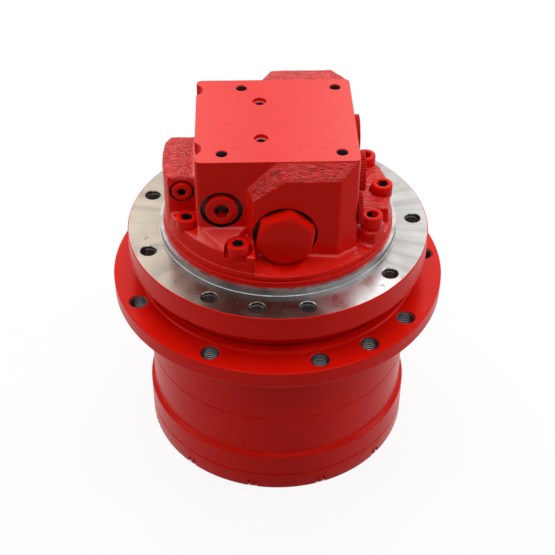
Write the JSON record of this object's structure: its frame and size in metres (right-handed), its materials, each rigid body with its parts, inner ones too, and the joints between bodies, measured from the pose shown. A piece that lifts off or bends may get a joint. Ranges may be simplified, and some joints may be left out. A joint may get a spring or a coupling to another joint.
{
  "type": "excavator final drive",
  "caption": "Hydraulic travel motor on a planetary gearbox: a drum hub with a sprocket flange turns around a fixed steel frame flange, with a port block on top.",
  "frame": {"origin": "on the shaft's axis, at the lowest face of the gearbox cover, which the drive stands on", "axes": "+Z along the shaft, from the gearbox to the motor; +X towards the main ports; -Y towards the front plug of the counterbalance valve"},
  "size_m": [0.2638, 0.2638, 0.2871],
  "materials": {
    "red_paint": "gloss red machine paint",
    "red_plastic": "red plastic, overpainted",
    "flange_steel": "turned, bare, lightly oiled",
    "forged_steel": "machined forging",
    "gear_steel": "ground and hardened",
    "bearing_steel": "polished",
    "bronze": "lapped",
    "spring_steel": "shot peened",
    "seal_iron": "lapped",
    "black_rubber": "moulded",
    "friction_lining": "sintered lining"
  },
  "bodies": {
    "frame_side": {"motor_housing": "flange_steel", "valve_body": "red_paint", "valve_body_screw_1": "red_paint", "valve_body_screw_2": "red_paint", "valve_body_screw_3": "red_paint", "valve_body_screw_4": "red_paint", "valve_body_screw_5": "red_paint", "valve_body_screw_6": "red_paint", "valve_body_screw_7": "red_paint", "counterbalance_plug_front": "red_paint", "counterbalance_plug_back": "red_paint", "gallery_plug": "red_paint", "speed_selector_plug": "red_paint", "main_port_cap_a": "red_plastic", "main_port_cap_b": "red_plastic", "drain_port_cap": "red_plastic", "counterbalance_spring_front": "spring_steel", "counterbalance_spring_back": "spring_steel", "speed_selector_spring": "spring_steel", "shaft_bearing_rear": "bearing_steel", "shaft_bearing_front": "bearing_steel", "shaft_seal": "black_rubber", "valve_plate": "bronze", "brake_disc_spring": "spring_steel", "brake_separator_1": "forged_steel", "brake_separator_2": "forged_steel", "swash_plate": "forged_steel", "main_bearing_upper": "bearing_steel", "main_bearing_lower": "bearing_steel", "bearing_nut": "forged_steel", "seal_ring_fixed": "seal_iron", "carrier_2": "forged_steel"},
    "hub_side": {"hub": "red_paint", "gearbox_cover": "red_paint", "oil_plug_1": "red_paint", "oil_plug_2": "red_paint", "seal_ring_rotating": "seal_iron"},
    "carrier_1_body": {"carrier_1": "forged_steel", "sun_gear_2": "gear_steel"},
    "shaft_body": {"drive_shaft": "forged_steel", "sun_gear_1": "gear_steel", "cylinder_block": "bronze", "piston_1": "gear_steel", "piston_2": "gear_steel", "piston_3": "gear_steel", "piston_4": "gear_steel", "piston_5": "gear_steel", "piston_6": "gear_steel", "piston_7": "gear_steel", "retainer_plate": "forged_steel", "brake_friction_disc": "friction_lining"},
    "counterbalance_spool_body": {"counterbalance_spool": "gear_steel"},
    "speed_selector_spool_body": {"speed_selector_spool": "gear_steel"},
    "brake_piston_body": {"brake_piston": "forged_steel"},
    "planet_1_a_body": {"planet_gear_1_a": "gear_steel"},
    "planet_1_b_body": {"planet_gear_1_b": "gear_steel"},
    "planet_1_c_body": {"planet_gear_1_c": "gear_steel"},
    "planet_2_a_body": {"planet_gear_2_a": "gear_steel"},
    "planet_2_b_body": {"planet_gear_2_b": "gear_steel"},
    "planet_2_c_body": {"planet_gear_2_c": "gear_steel"}
  },
  "joints": [
    {"name": "hub_spin", "type": "hinge", "parent": "frame_side", "child": "hub_side", "pos_m": [0, 0, 0.1], "axis": [0, 0, 1], "continuous": true},
    {"name": "carrier_1_spin", "type": "hinge", "parent": "frame_side", "child": "carrier_1_body", "pos_m": [0, 0, 0.0445], "axis": [0, 0, 1], "continuous": true},
    {"name": "shaft_spin", "type": "hinge", "parent": "frame_side", "child": "shaft_body", "pos_m": [0, 0, 0.12], "axis": [0, 0, 1], "continuous": true},
    {"name": "planet_1_a_spin", "type": "hinge", "parent": "carrier_1_body", "child": "planet_1_a_body", "pos_m": [0.0504, 0, 0.03], "axis": [0, 0, 1], "continuous": true},
    {"name": "planet_1_b_spin", "type": "hinge", "parent": "carrier_1_body", "child": "planet_1_b_body", "pos_m": [-0.0252, 0.04365, 0.03], "axis": [0, 0, 1], "continuous": true},
    {"name": "planet_1_c_spin", "type": "hinge", "parent": "carrier_1_body", "child": "planet_1_c_body", "pos_m": [-0.0252, -0.04365, 0.03], "axis": [0, 0, 1], "continuous": true},
    {"name": "planet_2_a_spin", "type": "hinge", "parent": "frame_side", "child": "planet_2_a_body", "pos_m": [0.054, 0, 0.0644], "axis": [0, 0, 1], "continuous": true},
    {"name": "planet_2_b_spin", "type": "hinge", "parent": "frame_side", "child": "planet_2_b_body", "pos_m": [-0.027, 0.04677, 0.0644], "axis": [0, 0, 1], "continuous": true},
    {"name": "planet_2_c_spin", "type": "hinge", "parent": "frame_side", "child": "planet_2_c_body", "pos_m": [-0.027, -0.04677, 0.0644], "axis": [0, 0, 1], "continuous": true},
    {"name": "counterbalance_spool_slide", "type": "slide", "parent": "frame_side", "child": "counterbalance_spool_body", "axis": [0, 1, 0], "range_m": [-0.005, 0.005], "stiffness_N_per_m": 3000, "deforming": ["counterbalance_spring_front", "counterbalance_spring_back"]},
    {"name": "speed_selector_slide", "type": "slide", "parent": "frame_side", "child": "speed_selector_spool_body", "axis": [0, 1, 0], "range_m": [0, 0.003], "stiffness_N_per_m": 1500, "deforming": ["speed_selector_spring"]},
    {"name": "brake_piston_slide", "type": "slide", "parent": "frame_side", "child": "brake_piston_body", "axis": [0, 0, 1], "range_m": [0, 0.0015], "stiffness_N_per_m": 20000, "springref_m": -0.002, "deforming": ["brake_disc_spring"]}
  ],
  "couplings": [
    {"joint": "carrier_1_spin", "follows": "hub_spin", "ratio": -4},
    {"joint": "shaft_spin", "follows": "hub_spin", "ratio": -34},
    {"joint": "planet_1_a_spin", "follows": "hub_spin", "ratio": 12},
    {"joint": "planet_1_b_spin", "follows": "hub_spin", "ratio": 12},
    {"joint": "planet_1_c_spin", "follows": "hub_spin", "ratio": 12},
    {"joint": "planet_2_a_spin", "follows": "hub_spin", "ratio": 2.6667},
    {"joint": "planet_2_b_spin", "follows": "hub_spin", "ratio": 2.6667},
    {"joint": "planet_2_c_spin", "follows": "hub_spin", "ratio": 2.6667}
  ]
}
